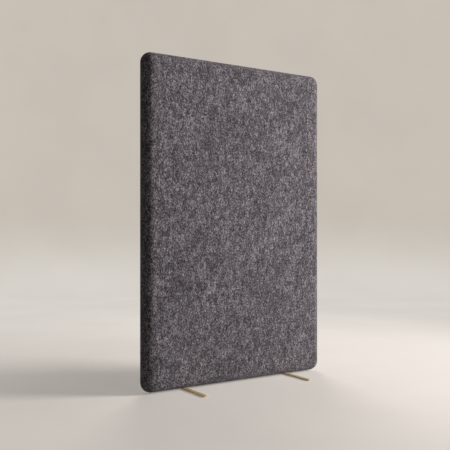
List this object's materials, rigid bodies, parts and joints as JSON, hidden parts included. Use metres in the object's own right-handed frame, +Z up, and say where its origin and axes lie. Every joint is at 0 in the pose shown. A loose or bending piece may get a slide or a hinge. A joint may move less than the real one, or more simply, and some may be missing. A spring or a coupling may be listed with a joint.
{
  "type": "acoustic divider screen",
  "caption": "Free-standing sound-absorbing screen: a soft felt-covered slab with full-round edges on two slim flat bar feet, with a zipped cover.",
  "frame": {"origin": "centre of the screen's footprint, on the floor plane under the pads", "axes": "+Z up, X along the panel's width, -Y out of the front face, +Y to the rear, where the zip is"},
  "size_m": [0.9998, 0.4, 1.504],
  "materials": {
    "felt": "matte",
    "foam": "matte",
    "timber": "matte",
    "board": "matte",
    "wool": "matte",
    "beech": "satin",
    "steel": "satin",
    "foot_brass": "satin",
    "pad_rubber": "matte",
    "zip_tape": "matte",
    "zip_coil": "satin",
    "zip_metal": "satin"
  },
  "bodies": {
    "screen": {"felt_cover": "felt", "foam_front": "foam", "foam_rear": "foam", "top_rail": "timber", "bottom_rail": "timber", "left_stile": "timber", "right_stile": "timber", "septum_board": "board", "mid_batten_front": "timber", "mid_batten_rear": "timber", "core_front_upper": "wool", "core_front_lower": "wool", "core_rear_upper": "wool", "core_rear_lower": "wool", "frame_dowels": "beech", "frame_screws": "steel", "batten_screws": "steel", "foot_plate_left": "steel", "foot_plate_right": "steel", "plate_screws": "steel", "foot_nuts": "steel", "foot_sleeves": "steel", "foot_bar_left": "foot_brass", "foot_bar_right": "foot_brass", "foot_screws": "foot_brass", "floor_pads_left": "pad_rubber", "floor_pads_right": "pad_rubber", "zip_tape_upper": "zip_tape", "zip_tape_lower": "zip_tape", "zip_coil_upper": "zip_coil", "zip_coil_lower": "zip_coil", "zip_stops": "zip_metal"},
    "slider": {"zip_slider": "zip_metal"},
    "pull": {"zip_pull": "zip_metal"}
  },
  "joints": [
    {"name": "zip_slide", "type": "slide", "parent": "screen", "child": "slider", "axis": [-1, 0, 0], "range_m": [0, 0.842]},
    {"name": "pull_swing", "type": "hinge", "parent": "slider", "child": "pull", "pos_m": [0.4212, 0.03834, 0.02216], "axis": [0, -0.5736, -0.8192], "range_deg": [-85, 85]}
  ]
}
